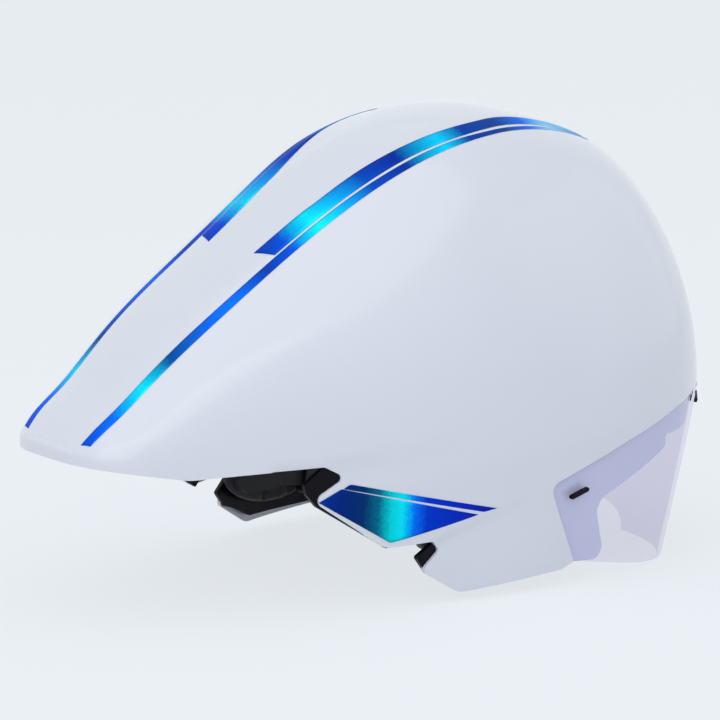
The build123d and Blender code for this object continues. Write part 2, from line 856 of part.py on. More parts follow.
def band_guide(side, radius):
    """A loop round one band's front end, tall enough for the cradle's travel."""
    start = side * (guide_bearing - guide_half_reach)
    end = side * (guide_bearing + guide_half_reach)
    slot_low = dial_height - band_front_half_height - cradle_travel - band_gap
    slot_height = 2 * band_front_half_height + cradle_travel + 2 * band_gap
    inner = radius - band_gap - guide_wall
    with BuildPart() as guide:
        with BuildSketch(Plane.XY.offset(slot_low - guide_wall)):
            add(arc_face(inner, guide_face_radius - inner, start, end))
        extrude(amount=slot_height + 2 * guide_wall)
        with BuildSketch(Plane.XY.offset(slot_low)):
            add(
                arc_face(
                    radius - band_gap,
                    band_wall + 2 * band_gap,
                    start - side * guide_half_reach,
                    end + side * guide_half_reach,
                )
            )
        extrude(amount=slot_height, mode=Mode.SUBTRACT)
    return guide.part


for (side, word), radius in zip(sides, (band_left_radius, band_right_radius)):
    band = draw_band(side, radius)
    band.label = f"band_{word}"
    export_step(band, f"parts/band_{word}.step")
    guide = band_guide(side, radius)
    guide.label = f"band_guide_{word}"
    export_step(guide, f"parts/band_guide_{word}.step")

# Straps: webbing stowed flat over the ear pads, from two anchors a side to a divider
cheek_half_width = 82.0  # strap plane, from the middle at the helmet's centre
cheek_splay = 9.5  # degrees the cheeks spread towards the front
strap_width = 12.0
strap_wall = 1.2
strap_gap = 0.3
strap_level = 1.6  # webbing, off the strap plane
strap_stop = 4.5  # webbing's end, from the divider's middle
strap_grip = 5.0  # webbing held in the divider or a buckle
anchor_radius = 5.0
anchor_pin_radius = 2.5
anchor_head = 1.6
divider_length = 27.0
divider_width = 19.0
divider_corner = 5.0
divider_web = 0.9
front_anchor_shares = (0.056, 0.246)
rear_anchor_shares = (-0.162, 0.223)
divider_shares = (-0.022, 0.143)
buckle_shares = (0.060, 0.120)
ear_pad_shares = (0.022, 0.138)
ear_pad_half_length = 32.0
ear_pad_half_height = 17.0
ear_pad_crown = 1.5
ear_groove_spread = 9.0
splay = radians(cheek_splay)
chin_level = strap_level + strap_wall + 2 * strap_gap + divider_web
pin_level = strap_level + strap_wall + strap_gap
cheek_depth = half_width - cheek_half_width + overrun


def cheek_plane(inward):
    """The left cheek's strap plane, moved towards the head: x along the cheek, y up."""
    return Plane(
        origin=(0, cheek_half_width, 0),
        x_dir=(cos(splay), sin(splay), 0),
        z_dir=(sin(splay), -cos(splay), 0),
    ).offset(inward)


def cheek_place(place_shares):
    """A place on the strap plane, from shares of the length and the crown height."""
    return Vector(place_shares[0] * length, place_shares[1] * crown_height)


def strap_strip(start, end, margin):
    """A strip of webbing between two places, widened all round by a margin."""
    run = end - start
    with BuildSketch() as strip:
        with Locations(Location((start + end) / 2, (0, 0, degrees(atan2(run.Y, run.X))))):
            Rectangle(run.length + 2 * margin, strap_width + 2 * margin)
    return strip.sketch


cheek_inside = body_form(frame_inset + frame_wall + seat_gap)
divider_place = cheek_place(divider_shares)
buckle_place = cheek_place(buckle_shares)
chin_run = (buckle_place - divider_place).normalized()
chin_start = divider_place - chin_run * strap_grip
chin_end = buckle_place + chin_run * strap_grip

with BuildPart() as ear_pad:
    with BuildSketch(cheek_plane(-ear_pad_crown)):
        with Locations(cheek_place(ear_pad_shares)):
            Ellipse(ear_pad_half_length, ear_pad_half_height)
    extrude(amount=-cheek_depth)
    add(cheek_inside, mode=Mode.INTERSECT)
    with BuildSketch(cheek_plane(-ear_pad_crown)):
        with Locations(cheek_place(ear_pad_shares)):
            Ellipse(ear_pad_half_length - ear_pad_crown, ear_pad_half_height - ear_pad_crown)
            with Locations((-ear_groove_spread, 0), (ear_groove_spread, 0)):
                Rectangle(pad_groove, 2 * ear_pad_half_height, mode=Mode.SUBTRACT)
    extrude(amount=ear_pad_crown)
write_pair(ear_pad.part, "ear_pad")

strips = []
for anchor_shares, name in ((front_anchor_shares, "front"), (rear_anchor_shares, "rear")):
    place = cheek_place(anchor_shares)
    end = divider_place - (divider_place - place).normalized() * strap_stop
    with BuildPart() as strap:
        with BuildSketch(cheek_plane(strap_level)):
            add(strap_strip(place, end, 0))
            with Locations(place):
                Circle(strap_width / 2)
                Circle(anchor_pin_radius + strap_gap, mode=Mode.SUBTRACT)
        extrude(amount=strap_wall)
    write_pair(strap.part, f"{name}_strap")
    strips.append(strap_strip(place, end, strap_gap))

with BuildPart() as strap_anchors:
    for anchor_shares in (front_anchor_shares, rear_anchor_shares):
        with BuildSketch(cheek_plane(pin_level)):
            with Locations(cheek_place(anchor_shares)):
                Circle(anchor_pin_radius)
        extrude(amount=-cheek_depth)
    add(cheek_inside, mode=Mode.INTERSECT)
    for anchor_shares in (front_anchor_shares, rear_anchor_shares):
        with BuildSketch(cheek_plane(pin_level)):
            with Locations(cheek_place(anchor_shares)):
                Circle(anchor_radius)
        extrude(amount=anchor_head)
    mirror(about=Plane.XZ)
strap_anchors.part.label = "strap_anchors"
export_step(strap_anchors.part, "parts/strap_anchors.step")

with BuildPart() as chin_strap:
    with BuildSketch(cheek_plane(chin_level)):
        add(strap_strip(chin_start, chin_end, 0))
    extrude(amount=strap_wall)
write_pair(chin_strap.part, "chin_strap")

with BuildPart() as strap_divider:
    with BuildSketch(cheek_plane(strap_gap)):
        with Locations(divider_place):
            RectangleRounded(divider_length, divider_width, divider_corner)
    extrude(amount=chin_level + strap_wall + divider_web)
    for strip in strips:
        with BuildSketch(cheek_plane(strap_level - strap_gap)):
            add(strip)
        extrude(amount=strap_wall + 2 * strap_gap, mode=Mode.SUBTRACT)
    with BuildSketch(cheek_plane(chin_level - strap_gap)):
        add(strap_strip(chin_start, chin_end, strap_gap))
    extrude(amount=strap_wall + 2 * strap_gap, mode=Mode.SUBTRACT)
write_pair(strap_divider.part, "strap_divider")

# Buckle: two halves, undone and folded over the ear pads
buckle_width = 20.0
buckle_half_wall = 3.2
buckle_base = 10.0
buckle_corner = 2.5
prong_length = 14.0
prong_width = 2.4
prong_spread = 6.6
prong_half_wall = 1.5
barb_length = 4.0
barb_width = 1.4
tongue_width = 4.0
catch_wall = 1.7
catch_play = 0.3
catch_length = 24.0
catch_window = 7.0
ahead = (Align.MIN, Align.CENTER)


def buckle_plane():
    """The plane in the middle of the chin strap's webbing, from the buckle's end along the strap."""
    base = cheek_plane(chin_level + strap_wall / 2)
    origin = base.from_local_coords(buckle_place)
    return Plane(
        origin=origin,
        x_dir=base.from_local_coords(buckle_place + chin_run) - origin,
        z_dir=base.z_dir,
    )


buckle_middle = buckle_plane()
with BuildPart() as webbing_slot:
    with BuildSketch(buckle_middle):
        Rectangle(2 * (strap_grip + strap_gap), strap_width + 2 * strap_gap)
    extrude(amount=strap_wall / 2 + strap_gap, both=True)

with BuildPart() as buckle_male:
    with BuildSketch(buckle_middle):
        Rectangle(buckle_base, buckle_width, align=ahead)
    extrude(amount=buckle_half_wall, both=True)
    fillet(buckle_male.edges().filter_by(Axis(buckle_middle.origin, buckle_middle.z_dir)), radius=buckle_corner)
    with BuildSketch(buckle_middle):
        Rectangle(buckle_base + prong_length - barb_length, tongue_width, align=ahead)
        for across in (-prong_spread, prong_spread):
            with Locations((0, across)):
                Rectangle(buckle_base + prong_length, prong_width, align=ahead)
        with Locations((buckle_base + prong_length - barb_length, 0)):
            Rectangle(barb_length, 2 * prong_spread + prong_width + 2 * barb_width, align=ahead)
            Rectangle(barb_length, 2 * prong_spread - prong_width, align=ahead, mode=Mode.SUBTRACT)
    extrude(amount=prong_half_wall, both=True)
    add(webbing_slot.part, mode=Mode.SUBTRACT)
buckle_male.part.label = "buckle_male"
export_step(buckle_male.part, "parts/buckle_male.step")

with BuildPart() as catch:
    with BuildSketch(buckle_middle):
        Rectangle(catch_length, buckle_width + 2 * catch_wall, align=ahead)
    extrude(amount=buckle_half_wall, both=True)
    with BuildSketch(buckle_middle):
        with Locations((buckle_base, 0)):
            Rectangle(catch_length, buckle_width, align=ahead)
    extrude(amount=prong_half_wall + catch_play, both=True, mode=Mode.SUBTRACT)
    with BuildSketch(buckle_middle):
        with Locations((buckle_base + prong_length / 2, 0)):
            Rectangle(catch_window, 2 * buckle_width)
    extrude(amount=prong_half_wall + catch_play, both=True, mode=Mode.SUBTRACT)
    add(webbing_slot.part, mode=Mode.SUBTRACT)

with BuildPart() as buckle_female:
    mirror(catch.part, about=Plane.XZ)
buckle_female.part.label = "buckle_female"
export_step(buckle_female.part, "parts/buckle_female.step")
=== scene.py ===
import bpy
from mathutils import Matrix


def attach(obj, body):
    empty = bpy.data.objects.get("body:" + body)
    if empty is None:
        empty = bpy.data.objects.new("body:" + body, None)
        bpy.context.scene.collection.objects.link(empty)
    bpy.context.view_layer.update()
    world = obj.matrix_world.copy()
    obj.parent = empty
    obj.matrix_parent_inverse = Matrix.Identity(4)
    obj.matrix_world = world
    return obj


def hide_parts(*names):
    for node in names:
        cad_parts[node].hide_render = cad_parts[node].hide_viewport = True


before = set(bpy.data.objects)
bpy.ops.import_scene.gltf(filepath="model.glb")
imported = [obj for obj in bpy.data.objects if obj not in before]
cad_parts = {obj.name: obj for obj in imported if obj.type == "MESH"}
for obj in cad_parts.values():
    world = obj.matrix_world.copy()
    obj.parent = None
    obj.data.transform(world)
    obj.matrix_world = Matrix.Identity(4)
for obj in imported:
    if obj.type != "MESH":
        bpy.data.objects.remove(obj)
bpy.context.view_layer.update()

from math import asin, atan2, ceil, cos, pi, radians, sin, tan

import bmesh
import bpy
from mathutils import Vector

# Studio: a long lens looks down a little on the helmet's right side from behind its middle. The
# floor and backdrop are pale, and show as a near-white field behind gloss and glass.
CAMERA_TARGET = Vector((0.0, 0.0, 0.101))
CAMERA_BACK = Vector((-0.577, -0.794, 0.191)).normalized()
CAMERA_DISTANCE = 2.0
CAMERA_LENS = 204.9  # millimetres, as is the sensor's width
SENSOR_WIDTH = 36.0
BACKDROP_COLOUR = (0.89, 0.93, 0.975, 1)
FLOOR_GLOW = 0.8  # how much of the floor shows as backdrop, the rest takes the shadow
FLOOR_DROP = 0.0005  # the floor lies this far under the helmet


def srgb(red, green, blue):
    """A colour written as it shows on a screen, from 0 to 255."""
    linear = []
    for value in (red, green, blue):
        share = value / 255
        linear.append(share / 12.92 if value < 10 else ((share + 0.055) / 1.055) ** 2.4)
    return (*linear, 1)


def rest():
    """Leaves edit mode with nothing selected."""
    if bpy.context.object and bpy.context.object.mode != "OBJECT":
        bpy.ops.object.mode_set(mode="OBJECT")
    bpy.ops.object.select_all(action="DESELECT")


def backdrop_rays(nodes, links):
    """One for the camera, transmission and glossy rays, which see the plain backdrop."""
    paths = nodes.new("ShaderNodeLightPath")
    found = paths.outputs["Is Camera Ray"]
    for ray in ("Is Transmission Ray", "Is Glossy Ray"):
        either = nodes.new("ShaderNodeMath")
        either.operation = "MAXIMUM"
        links.new(found, either.inputs[0])
        links.new(paths.outputs[ray], either.inputs[1])
        found = either.outputs[0]
    return found


camera_data = bpy.data.cameras.new("camera")
camera = bpy.data.objects.new("camera", camera_data)
bpy.context.scene.collection.objects.link(camera)
bpy.context.scene.camera = camera
camera.location = CAMERA_TARGET + CAMERA_BACK * CAMERA_DISTANCE
camera.rotation_euler = (-CAMERA_BACK).to_track_quat("-Z", "Y").to_euler()
camera_data.lens = CAMERA_LENS
camera_data.sensor_width = SENSOR_WIDTH
bpy.context.scene.view_settings.view_transform = "Standard"

rest()
bpy.ops.mesh.primitive_plane_add(size=12, location=(0, 0, -FLOOR_DROP))
floor = bpy.context.object
floor.name = "floor"
floor_material = bpy.data.materials.new("pale_floor")
floor_material.use_nodes = True
nodes, links = floor_material.node_tree.nodes, floor_material.node_tree.links
matt = nodes["Principled BSDF"]
matt.inputs["Base Color"].default_value = (0.80, 0.82, 0.86, 1)
matt.inputs["Roughness"].default_value = 0.9
matt.inputs["Specular IOR Level"].default_value = 0.1
pale = nodes.new("ShaderNodeEmission")
pale.inputs["Color"].default_value = BACKDROP_COLOUR
share = nodes.new("ShaderNodeMath")
share.operation = "MULTIPLY"
share.inputs[1].default_value = FLOOR_GLOW
mix = nodes.new("ShaderNodeMixShader")
links.new(backdrop_rays(nodes, links), share.inputs[0])
links.new(share.outputs[0], mix.inputs[0])
links.new(matt.outputs[0], mix.inputs[1])
links.new(pale.outputs[0], mix.inputs[2])
links.new(mix.outputs[0], nodes["Material Output"].inputs["Surface"])
floor.data.materials.append(floor_material)

world = bpy.data.worlds.new("studio")
bpy.context.scene.world = world
world.use_nodes = True
nodes, links = world.node_tree.nodes, world.node_tree.links
light = nodes["Background"]
light.inputs["Color"].default_value = (0.93, 0.96, 1.0, 1)
light.inputs["Strength"].default_value = 0.55
seen = nodes.new("ShaderNodeBackground")
seen.inputs["Color"].default_value = BACKDROP_COLOUR
seen.inputs["Strength"].default_value = 1.0
mix = nodes.new("ShaderNodeMixShader")
links.new(backdrop_rays(nodes, links), mix.inputs[0])
links.new(light.outputs[0], mix.inputs[1])
links.new(seen.outputs[0], mix.inputs[2])
links.new(mix.outputs[0], nodes["World Output"].inputs["Surface"])


def area_light(name, place, aim, size, watts):
    """A soft box that faces a place."""
    data = bpy.data.lights.new(name, "AREA")
    data.shape = "RECTANGLE"
    data.size, data.size_y = size
    data.energy = watts
    lamp = bpy.data.objects.new(name, data)
    bpy.context.scene.collection.objects.link(lamp)
    lamp.location = place
    lamp.rotation_euler = (Vector(aim) - Vector(place)).to_track_quat("-Z", "Y").to_euler()


area_light("overhead", (-0.4, -0.3, 1.5), (0, 0, 0.1), (2.2, 1.8), 5.8)
area_light("near_side", (-1.5, -1.2, 0.9), (-0.05, 0, 0.12), (2.0, 1.6), 8.2)
area_light("front", (1.6, -0.8, 0.7), (0, 0, 0.1), (1.8, 1.6), 1.8)

# Outer shell: a glossy white composite moulding, about 2.6 mm thick. Its form is a row of rounded
# slices from a narrow blunt tail to a round brow, trimmed along the lobes and the eye port.
MM = 0.001
TAIL_LENGTH = 231 * MM
FRONT_LENGTH = 127 * MM
HALF_WIDTH = 102 * MM
SIDE_HEIGHT = 75 * MM
CROWN_RISE = 149 * MM
SIDE_LEAN = 7 * MM
LENGTH = TAIL_LENGTH + FRONT_LENGTH
WIDEST_X = LENGTH / 2 - FRONT_LENGTH
CROWN_HEIGHT = SIDE_HEIGHT + CROWN_RISE
BROW_HEIGHT = 1.08 * SIDE_HEIGHT
SHELL_WALL = 2.6 * MM
PLAN_ROUNDNESS = 2.5
LAST_SHARE = 0.998  # the last slice's place at either end
BROW_CLOSE = 0.002  # from there to the very front, where the rise falls to nothing
END_REACH = 0.99999
STATIONS = (  # rows of place, half width, rise, level and roundness, as shares
    (-0.998, 0.21, 0.022, 1.063, 2.4),
    (-0.983, 0.31, 0.062, 1.036, 2.6),
    (-0.946, 0.40, 0.137, 0.994, 2.8),
    (-0.877, 0.48, 0.242, 0.940, 2.9),
    (-0.753, 0.585, 0.452, 0.875, 2.9),
    (-0.593, 0.728, 0.657, 0.827, 2.8),
    (-0.410, 0.876, 0.833, 0.866, 2.6),
    (-0.216, 0.976, 0.971, 0.946, 2.4),
    (0.0, 1.0, 1.0, 1.0, 2.2),
    (0.20, 0.993, 0.961, 1.027, 2.2),
    (0.40, 0.958, 0.904, 1.054, 2.2),
    (0.58, 0.889, 0.824, 1.075, 2.2),
    (0.74, 0.772, 0.677, 1.08, 2.2),
    (0.86, 0.632, 0.502, 1.08, 2.2),
    (0.94, 0.460, 0.353, 1.08, 2.2),
    (0.985, 0.268, 0.188, 1.08, 2.2),
    (0.998, 0.120, 0.072, 1.08, 2.2),
)


def smooth_curve(knots, values):
    """A natural cubic curve through values at knots, as a function."""
    count = len(knots)
    gaps = [knots[i + 1] - knots[i] for i in range(count - 1)]
    lower, diagonal, upper, right = [0.0] * count, [1.0] * count, [0.0] * count, [0.0] * count
    for i in range(1, count - 1):
        lower[i], upper[i] = gaps[i - 1], gaps[i]
        diagonal[i] = 2 * (gaps[i - 1] + gaps[i])
        ahead = (values[i + 1] - values[i]) / gaps[i]
        right[i] = 6 * (ahead - (values[i] - values[i - 1]) / gaps[i - 1])
    for i in range(1, count):
        share = lower[i] / diagonal[i - 1]
        diagonal[i] -= share * upper[i - 1]
        right[i] -= share * right[i - 1]
    bends = [0.0] * count
    bends[-1] = right[-1] / diagonal[-1]
    for i in range(count - 2, -1, -1):
        bends[i] = (right[i] - upper[i] * bends[i + 1]) / diagonal[i]

    def value_at(place):
        i = 0
        while i < count - 2 and place > knots[i + 1]:
            i += 1
        gap = gaps[i]
        a, b = (knots[i + 1] - place) / gap, (place - knots[i]) / gap
        bend = (a**3 - a) * bends[i] + (b**3 - b) * bends[i + 1]
        return a * values[i] + b * values[i + 1] + bend * gap**2 / 6

    return value_at


station_turns = [asin(row[0]) for row in STATIONS]
rise_curve, level_curve, roundness_curve = (
    smooth_curve(station_turns, [row[column] for row in STATIONS]) for column in (2, 3, 4)
)
tail_width_curve = smooth_curve(station_turns, [row[1] for row in STATIONS])


def slice_sizes(x):
    """Half width, rise, level and roundness of the body's slice at x."""
    reach = TAIL_LENGTH if x < WIDEST_X else FRONT_LENGTH
    along = max(-LAST_SHARE, min(END_REACH, (x - WIDEST_X) / reach))
    turn = asin(along)
    if along > 0:
        width = (1 - along**PLAN_ROUNDNESS) ** (1 / PLAN_ROUNDNESS)
    else:
        width = tail_width_curve(turn)
    rise = rise_curve(turn)
    if along >= LAST_SHARE:
        rise = STATIONS[-1][2] * (1 - along) / BROW_CLOSE
    level = level_curve(turn) * SIDE_HEIGHT
    return width * HALF_WIDTH, rise * CROWN_RISE, level, roundness_curve(turn)


SIDE_BEND = 38 * MM  # below the widest line, where the side's lean eases
UPPER_LEAN = 0.092
LOWER_LEAN = 0.061
LEAN_START = 14 * MM  # the lean grows from nothing over this drop


def side_inset(drop):
    """How far the side has drawn in at a drop below the widest line."""
    lean = UPPER_LEAN * min(drop, SIDE_BEND) + LOWER_LEAN * max(0.0, drop - SIDE_BEND)
    return lean * min(1.0, drop / LEAN_START)


CROWN_STEP = 0.8 * MM
CROWN_STEP_RUN = 4 * MM
STEP_FRONT = 4 * MM  # place along of the step's front, where it leaves the ridge
RIDGE_HALF = 6 * MM
RIDGE_FLARE = 0.36
FRONT_SWEEP = 1.3
SIDE_SWEEP = 1.2  # more, past SIDE_SWEEP_START
SIDE_SWEEP_START = 42 * MM
STRIPE_BAND = (31 * MM, 49 * MM, 9 * MM)  # no step from the first to the second, and its run-out
STEP_SIDE_FADE = (88 * MM, 24 * MM)
STEP_TAIL_FADE = (95 * MM, 70 * MM)
CREASE_DEPTH = 1.9 * MM
CREASE_RUN = 4  # millimetres, as in the rows below
CREASE_BLEND = 0.2
CREASE_LEAD = 25  # how far behind its first row a crease still works
CREASES = (  # rows of place and height, from a notch forwards
    ((-76, 73), (-44, 77), (-18, 79), (10, 80)),
    ((-25, 30), (-16, 34.5), (17, 45), (45, 54)),
)


def eased(share):
    """A share from 0 to 1, eased at both ends."""
    share = max(0.0, min(1.0, share))
    return share * share * (3 - 2 * share)


def crown_step(x, y):
    """The soft step down round the raised crown: a middle ridge that fans out to a swept front."""
    aside = abs(y)
    sweep = STEP_FRONT + FRONT_SWEEP * (aside - RIDGE_HALF)
    swept = x - (sweep + SIDE_SWEEP * max(0.0, aside - SIDE_SWEEP_START))
    ridge = RIDGE_HALF + RIDGE_FLARE * (STEP_FRONT - x) - aside
    inner, outer, run_out = STRIPE_BAND
    between = eased((inner - aside) / run_out) + eased((aside - outer) / run_out)
    (side, side_run), (tail, tail_run) = STEP_SIDE_FADE, STEP_TAIL_FADE
    fade = between * eased((side - aside) / side_run) * eased((x + tail) / tail_run)
    return CROWN_STEP * (eased(max(swept, ridge) / CROWN_STEP_RUN + 0.5) - 1) * fade


def crease(x, z):
    """How far the side draws in below the creases that run forwards from the two notches."""
    depth = 0.0
    for line in CREASES:
        (start, low), (end, high) = line[0], line[-1]
        place = x / MM
        if start - CREASE_LEAD < place < end:
            level = low + (high - low) * (place - start) / (end - start)
            for (x0, z0), (x1, z1) in zip(line, line[1:]):
                if x0 <= place <= x1:
                    level = z0 + (z1 - z0) * (place - x0) / (x1 - x0)
            fade = 1 - eased((place - start) / (end - start))
            depth += CREASE_DEPTH * fade * eased((level - z / MM) / CREASE_RUN + CREASE_BLEND)
    return depth


def body_point(x, turn):
    """A point of the shell's outside: turn is 0 at the right's widest line, pi at the left's."""
    width, rise, level, roundness = slice_sizes(x)
    across = abs(cos(turn)) ** (2 / roundness) * width
    up = abs(sin(turn)) ** (2 / roundness) * rise
    side = -1 if turn < pi / 2 else 1
    return Vector((x, side * (across - crease(x, level + up)), level + up))


def on_body(x, y, z):
    """The point of the shell's outside nearest to a rough place, in the slice at its x."""
    width, rise, level, roundness = slice_sizes(x)
    side = -1 if y < 0 else 1
    if z <= level:
        return Vector((x, side * (width - side_inset(level - z) - crease(x, z)), z))
    turn = atan2(((z - level) / rise) ** (roundness / 2), (abs(y) / width) ** (roundness / 2))
    return body_point(x, turn if side < 0 else pi - turn)


def pick(piece):
    """Leaves one piece selected and active, in object mode."""
    rest()
    piece.select_set(True)
    bpy.context.view_layer.objects.active = piece


def new_grid(name, columns, rows):
    """A flat grid primitive, whose points are then placed one by one."""
    rest()
    bpy.ops.mesh.primitive_grid_add(x_subdivisions=columns, y_subdivisions=rows, size=1)
    piece = bpy.context.object
    piece.name = name
    return piece


def place_grid(piece, point_at):
    """Moves a grid's points to point_at(column share, row share)."""
    for vertex in piece.data.vertices:
        vertex.co = point_at(vertex.co.x + 0.5, vertex.co.y + 0.5)
    piece.data.update()


def apply_modifier(piece, kind, **settings):
    """Adds a modifier with its settings and applies it."""
    pick(piece)
    modifier = piece.modifiers.new(kind.lower(), kind)
    for key, value in settings.items():
        setattr(modifier, key, value)
    bpy.ops.object.modifier_apply(modifier=modifier.name)


CORNER_STEP = 0.2  # radians, along a rounded corner
TRIM_REACH = 0.13  # half the depth of a cut, past the helmet's sides


def rounded_outline(rows, across, up):
    """A closed outline from rows of place, height and corner radius, all as shares."""
    places = [Vector((row[0] * across, row[1] * up)) for row in rows]
    outline = []
    for i, (place, row) in enumerate(zip(places, rows)):
        radius = row[2] * up
        before, after = places[i - 1] - place, places[(i + 1) % len(places)] - place
        if radius <= 0:
            outline.append(place)
            continue
        a, b = before.normalized(), after.normalized()
        half = a.angle(b) / 2
        reach = radius / tan(half)
        centre = place + (a + b).normalized() * radius / sin(half)
        start, end = place + a * reach, place + b * reach
        sweep = (start - centre).angle_signed(end - centre)
        steps = max(2, ceil(abs(sweep) / CORNER_STEP))
        arm = start - centre
        for step in range(steps + 1):
            turn = -sweep * step / steps
            across_arm = arm.x * cos(turn) - arm.y * sin(turn)
            up_arm = arm.x * sin(turn) + arm.y * cos(turn)
            outline.append(centre + Vector((across_arm, up_arm)))
    return outline


def prism(name, outline, half_depth):
    """A solid with an outline in side view, from one side of the helmet to the other."""
    mesh = bpy.data.meshes.new(name)
    piece = bpy.data.objects.new(name, mesh)
    bpy.context.scene.collection.objects.link(piece)
    form = bmesh.new()
    face = form.faces.new([form.verts.new((place.x, -half_depth, place.y)) for place in outline])
    grown = bmesh.ops.extrude_face_region(form, geom=[face])
    moved = [item for item in grown["geom"] if isinstance(item, bmesh.types.BMVert)]
    bmesh.ops.translate(form, verts=moved, vec=(0, 2 * half_depth, 0))
    bmesh.ops.recalc_face_normals(form, faces=form.faces)
    form.to_mesh(mesh)
    form.free()
    return piece


def shade_by_angle(piece, degrees_apart=35):
    """Smooth faces, with edges sharp past an angle."""
    pick(piece)
    bpy.ops.object.shade_smooth_by_angle(angle=radians(degrees_apart))


def coat(piece, material):
    """Gives a piece one material in place of what it has."""
    piece.data.materials.clear()
    piece.data.materials.append(material)


def trim(piece, cutter, operation):
    """Cuts a piece with another, which is then deleted."""
    apply_modifier(piece, "BOOLEAN", object=cutter, operation=operation, solver="EXACT")
    bpy.data.objects.remove(cutter, do_unlink=True)


# Side outlines, as shares of the length and the crown's height: place, height, corner radius.
PORT_LINE = (
    (0.159, 0.049, 0.0),
    (0.112, 0.226, 0.022),
    (0.246, 0.299, 0.2),
    (0.346, 0.345, 0.1),
    (0.425, 0.371, 0.06),
    (0.560, 0.376, 0.0),
)
LOBE_LINE = (
    (-0.560, 0.350, 0.0),
    (-0.480, 0.333, 0.05),
    (-0.380, 0.305, 0.11),
    (-0.212, 0.317, 0.013),
    (-0.184, 0.292, 0.011),
    (-0.226, 0.245, 0.018),
    (-0.128, 0.131, 0.035),
    (-0.064, 0.138, 0.013),
    (-0.053, 0.116, 0.009),
    (-0.076, 0.073, 0.013),
    (-0.022, 0.018, 0.03),
    (0.137, 0.036, 0.0),
)
OVER_CROWN = ((0.560, 1.12, 0.0), (-0.560, 1.12, 0.0))
SHELL_COLUMNS, SHELL_ROWS = 220, 200
SIDE_ROWS_SHARE = 0.16
TAIL_TURN = asin(-LAST_SHARE)
BROW_TURN = 1.545
SKIRT = 10 * MM  # how far the untrimmed sides run below the helmet
TAIL_END_SHARE = 0.04  # of the columns, for the closed tail end
TAIL_END_DEPTH = 2.0 * MM
MERGE_DISTANCE = 0.00002


def shell_point(column, row):
    """The shell's outside, by shares along it and round it, with a rounded end at the tail."""
    if column < TAIL_END_SHARE:
        turn = column / TAIL_END_SHARE * pi / 2
        point = shell_point(TAIL_END_SHARE, row)
        level = slice_sizes(point.x)[2]
        drawn = level + (point.z - level) * (sin(turn) if point.z > level else 1)
        return Vector((point.x - TAIL_END_DEPTH * cos(turn), point.y * sin(turn), drawn))
    turn = TAIL_TURN + (column - TAIL_END_SHARE) / (1 - TAIL_END_SHARE) * (BROW_TURN - TAIL_TURN)
    reach = TAIL_LENGTH if turn < 0 else FRONT_LENGTH
    x = WIDEST_X + sin(turn) * reach
    if row < SIDE_ROWS_SHARE or row > 1 - SIDE_ROWS_SHARE:
        level = slice_sizes(x)[2]
        down = min(row, 1 - row) / SIDE_ROWS_SHARE
        return on_body(x, -1 if row < 0.5 else 1, -SKIRT + down * (level + SKIRT))
    point = body_point(x, (row - SIDE_ROWS_SHARE) / (1 - 2 * SIDE_ROWS_SHARE) * pi)
    point.z += crown_step(point.x, point.y)
    return point


shell = new_grid("shell", SHELL_COLUMNS, SHELL_ROWS)
place_grid(shell, shell_point)
pick(shell)
bpy.ops.object.mode_set(mode="EDIT")
bpy.ops.mesh.select_all(action="SELECT")
bpy.ops.mesh.remove_doubles(threshold=MERGE_DISTANCE)
bpy.ops.mesh.normals_make_consistent(inside=False)
pick(shell)
bpy.ops.object.shade_smooth()
crown_top = Vector((0.05, 0, 0.22))
crown_face = min(shell.data.polygons, key=lambda face: (face.center - crown_top).length)
if crown_face.normal.z < 0:
    shell.data.flip_normals()
apply_modifier(shell, "SOLIDIFY", thickness=SHELL_WALL, offset=-1.0)
shell_outline = rounded_outline(LOBE_LINE + PORT_LINE + OVER_CROWN, LENGTH, CROWN_HEIGHT)
trim(shell, prism("shell_trim", shell_outline, TRIM_REACH), "INTERSECT")

shell_paint = bpy.data.materials.new("white_gloss_shell")
shell_paint.use_nodes = True
nodes, links = shell_paint.node_tree.nodes, shell_paint.node_tree.links
paint = nodes["Principled BSDF"]
paint.inputs["Roughness"].default_value = 0.30
paint.inputs["Coat Weight"].default_value = 1.0
paint.inputs["Coat Roughness"].default_value = 0.13
coordinates = nodes.new("ShaderNodeTexCoord")
flow = nodes.new("ShaderNodeTexNoise")
flow.inputs["Scale"].default_value = 14
tint = nodes.new("ShaderNodeValToRGB")
tint.color_ramp.elements[0].color = srgb(230, 234, 245)
tint.color_ramp.elements[1].color = srgb(234, 238, 248)
links.new(coordinates.outputs["Object"], flow.inputs["Vector"])
links.new(flow.outputs["Fac"], tint.inputs["Fac"])
links.new(tint.outputs["Color"], paint.inputs["Base Color"])
peel = nodes.new("ShaderNodeTexNoise")
peel.inputs["Scale"].default_value = 420
bump = nodes.new("ShaderNodeBump")
bump.inputs["Strength"].default_value = 0.02
bump.inputs["Distance"].default_value = 0.0002
links.new(coordinates.outputs["Object"], peel.inputs["Vector"])
links.new(peel.outputs["Fac"], bump.inputs["Height"])
links.new(bump.outputs["Normal"], paint.inputs["Normal"])
coat(shell, shell_paint)
shade_by_angle(shell)
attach(shell, "helmet")
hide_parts("outer_shell")

